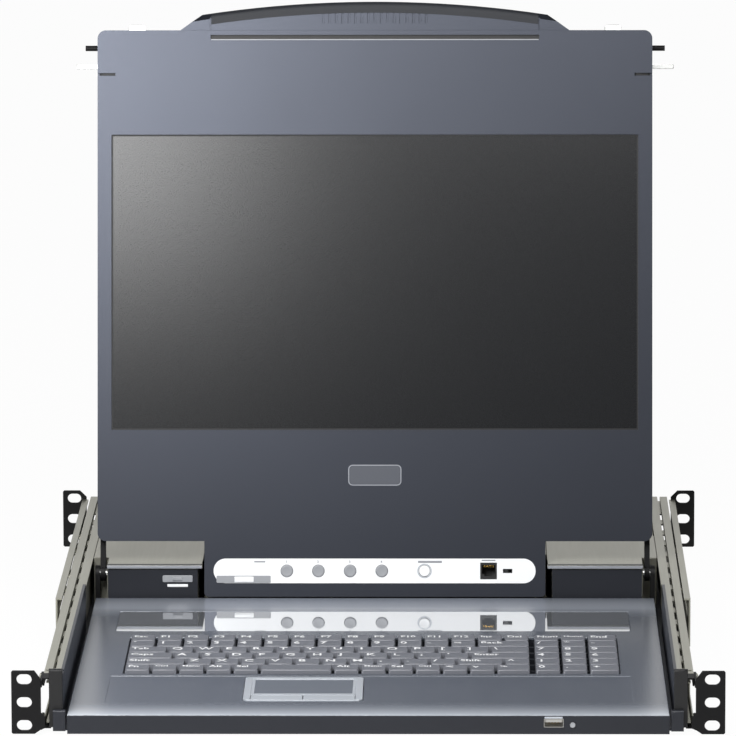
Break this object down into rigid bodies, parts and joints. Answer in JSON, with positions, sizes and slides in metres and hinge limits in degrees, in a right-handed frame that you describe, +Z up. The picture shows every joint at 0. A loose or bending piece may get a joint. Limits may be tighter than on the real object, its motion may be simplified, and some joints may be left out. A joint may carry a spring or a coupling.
{
  "type": "rackmount lcd console drawer",
  "caption": "One unit rack drawer on ball slides with a keyboard and touchpad deck and a hinged wide screen lid with a carrying grip, latches and a control strip.",
  "frame": {"origin": "middle of the front ear faces, half way up the rack unit", "axes": "+X to the right seen from the front, +Y to the rear of the rack, +Z up"},
  "size_m": [0.4826, 0.697, 0.4406],
  "materials": {
    "black_coat": "fine matte powder coat",
    "zinc_sheet": "zinc plated sheet",
    "slate_paint": "satin slate paint",
    "deck_plastic": "fine textured slate plastic",
    "dark_plastic": "fine textured dark plastic",
    "key_plastic": "fine textured key plastic",
    "gloss_inlay": "glossy",
    "white_plastic": "glossy white",
    "button_grey": "satin grey",
    "silver_paint": "satin silver",
    "pad_plastic": "matte",
    "screen_film": "anti-glare screen film",
    "pin_steel": "polished",
    "bearing_steel": "bright rolled steel",
    "port_steel": "nickel plated",
    "black_plastic": "moulded black plastic",
    "circuit_board": "lacquered circuit board",
    "supply_case": "die cast"
  },
  "bodies": {
    "fixed_rails": {"front_ear_left": "black_coat", "front_ear_right": "black_coat", "outer_channel_left": "zinc_sheet", "outer_channel_right": "zinc_sheet", "rail_screws": "zinc_sheet"},
    "rear_bracket_left": {"rear_arm_left": "zinc_sheet", "rear_ear_left": "black_coat"},
    "rear_bracket_right": {"rear_arm_right": "zinc_sheet", "rear_ear_right": "black_coat"},
    "cage_left": {"ball_cage_left": "bearing_steel"},
    "cage_right": {"ball_cage_right": "bearing_steel"},
    "drawer": {"inner_slides": "zinc_sheet", "side_channel_left": "zinc_sheet", "side_channel_right": "zinc_sheet", "rail_caps": "black_plastic", "corner_blocks": "dark_plastic", "drawer_floor": "slate_paint", "front_bezel": "dark_plastic", "deck_panel": "deck_plastic", "gloss_strip": "gloss_inlay", "keyboard_base": "dark_plastic", "touchpad_frame": "silver_paint", "touchpad": "pad_plastic", "usb_port": "port_steel", "corner_box_left": "zinc_sheet", "corner_box_right": "zinc_sheet", "box_fascias": "dark_plastic", "bridge_cover": "zinc_sheet", "rear_cover": "zinc_sheet", "rear_panel": "zinc_sheet", "hinge_brackets": "black_coat", "hinge_pins": "pin_steel", "power_inlet": "black_plastic", "main_board": "circuit_board", "power_supply": "supply_case"},
    "lid": {"lid_shell": "slate_paint", "lid_frame": "slate_paint", "lcd_panel": "screen_film", "control_strip": "white_plastic", "phone_port": "black_plastic", "grip": "slate_paint", "hinge_arms": "black_coat", "guide_pins": "black_coat"},
    "osd_button_1": {"osd_button_1": "button_grey"},
    "osd_button_2": {"osd_button_2": "button_grey"},
    "osd_button_3": {"osd_button_3": "button_grey"},
    "osd_button_4": {"osd_button_4": "button_grey"},
    "power_button": {"power_button": "white_plastic"},
    "recovery_switch": {"recovery_switch": "black_plastic"},
    "latch_left": {"latch_left": "pin_steel"},
    "latch_right": {"latch_right": "pin_steel"},
    "touchpad_button_left": {"touchpad_button_left": "silver_paint"},
    "touchpad_button_right": {"touchpad_button_right": "silver_paint"},
    "function_keys": {"function_keys": "key_plastic"},
    "main_keys": {"main_keys": "key_plastic"},
    "modifier_keys": {"modifier_keys": "key_plastic"},
    "space_bar": {"space_bar": "key_plastic"},
    "numpad_keys": {"numpad_keys": "key_plastic"},
    "reset_button": {"reset_button": "button_grey"},
    "rocker_switch": {"rocker_switch": "black_plastic"}
  },
  "joints": [
    {"name": "drawer_slide", "type": "slide", "parent": "fixed_rails", "child": "drawer", "axis": [0, -1, 0], "range_m": [0, 0.42]},
    {"name": "cage_left_roll", "type": "slide", "parent": "fixed_rails", "child": "cage_left", "axis": [0, -1, 0], "range_m": [0, 0.21]},
    {"name": "cage_right_roll", "type": "slide", "parent": "fixed_rails", "child": "cage_right", "axis": [0, -1, 0], "range_m": [0, 0.21]},
    {"name": "rear_bracket_left_depth", "type": "slide", "parent": "fixed_rails", "child": "rear_bracket_left", "axis": [0, 1, 0], "range_m": [-0.05, 0.08]},
    {"name": "rear_bracket_right_depth", "type": "slide", "parent": "fixed_rails", "child": "rear_bracket_right", "axis": [0, 1, 0], "range_m": [-0.05, 0.08]},
    {"name": "lid_hinge", "type": "hinge", "parent": "drawer", "child": "lid", "pos_m": [0, 0.4035, 0.0061], "axis": [1, 0, 0], "range_deg": [-15, 100]},
    {"name": "osd_button_1_press", "type": "slide", "parent": "lid", "child": "osd_button_1", "axis": [0, 0.9848, -0.1736], "range_m": [0, 0.001], "stiffness_N_per_m": 600},
    {"name": "osd_button_2_press", "type": "slide", "parent": "lid", "child": "osd_button_2", "axis": [0, 0.9848, -0.1736], "range_m": [0, 0.001], "stiffness_N_per_m": 600},
    {"name": "osd_button_3_press", "type": "slide", "parent": "lid", "child": "osd_button_3", "axis": [0, 0.9848, -0.1736], "range_m": [0, 0.001], "stiffness_N_per_m": 600},
    {"name": "osd_button_4_press", "type": "slide", "parent": "lid", "child": "osd_button_4", "axis": [0, 0.9848, -0.1736], "range_m": [0, 0.001], "stiffness_N_per_m": 600},
    {"name": "power_button_press", "type": "slide", "parent": "lid", "child": "power_button", "axis": [0, 0.9848, -0.1736], "range_m": [0, 0.001], "stiffness_N_per_m": 600},
    {"name": "recovery_switch_slide", "type": "slide", "parent": "lid", "child": "recovery_switch", "axis": [1, 0, 0], "range_m": [0, 0.002]},
    {"name": "latch_left_draw", "type": "slide", "parent": "lid", "child": "latch_left", "axis": [1, 0, 0], "range_m": [0, 0.012], "stiffness_N_per_m": 300},
    {"name": "latch_right_draw", "type": "slide", "parent": "lid", "child": "latch_right", "axis": [-1, 0, 0], "range_m": [0, 0.012], "stiffness_N_per_m": 300},
    {"name": "touchpad_button_left_press", "type": "slide", "parent": "drawer", "child": "touchpad_button_left", "axis": [0, 0, -1], "range_m": [0, 0.0006], "stiffness_N_per_m": 900},
    {"name": "touchpad_button_right_press", "type": "slide", "parent": "drawer", "child": "touchpad_button_right", "axis": [0, 0, -1], "range_m": [0, 0.0006], "stiffness_N_per_m": 900},
    {"name": "function_keys_press", "type": "slide", "parent": "drawer", "child": "function_keys", "axis": [0, 0, -1], "range_m": [0, 0.0018], "stiffness_N_per_m": 3000},
    {"name": "main_keys_press", "type": "slide", "parent": "drawer", "child": "main_keys", "axis": [0, 0, -1], "range_m": [0, 0.0018], "stiffness_N_per_m": 5000},
    {"name": "modifier_keys_press", "type": "slide", "parent": "drawer", "child": "modifier_keys", "axis": [0, 0, -1], "range_m": [0, 0.0018], "stiffness_N_per_m": 3000},
    {"name": "space_bar_press", "type": "slide", "parent": "drawer", "child": "space_bar", "axis": [0, 0, -1], "range_m": [0, 0.0018], "stiffness_N_per_m": 900},
    {"name": "numpad_keys_press", "type": "slide", "parent": "drawer", "child": "numpad_keys", "axis": [0, 0, -1], "range_m": [0, 0.0018], "stiffness_N_per_m": 3500},
    {"name": "reset_button_press", "type": "slide", "parent": "drawer", "child": "reset_button", "axis": [0, 1, 0], "range_m": [0, 0.001], "stiffness_N_per_m": 400},
    {"name": "rocker_switch_rock", "type": "hinge", "parent": "drawer", "child": "rocker_switch", "pos_m": [0.1365, 0.6848, -0.0035], "axis": [1, 0, 0], "range_deg": [0, 16]}
  ],
  "couplings": [
    {"joint": "cage_left_roll", "follows": "drawer_slide", "ratio": 0.5},
    {"joint": "cage_right_roll", "follows": "drawer_slide", "ratio": 0.5}
  ]
}
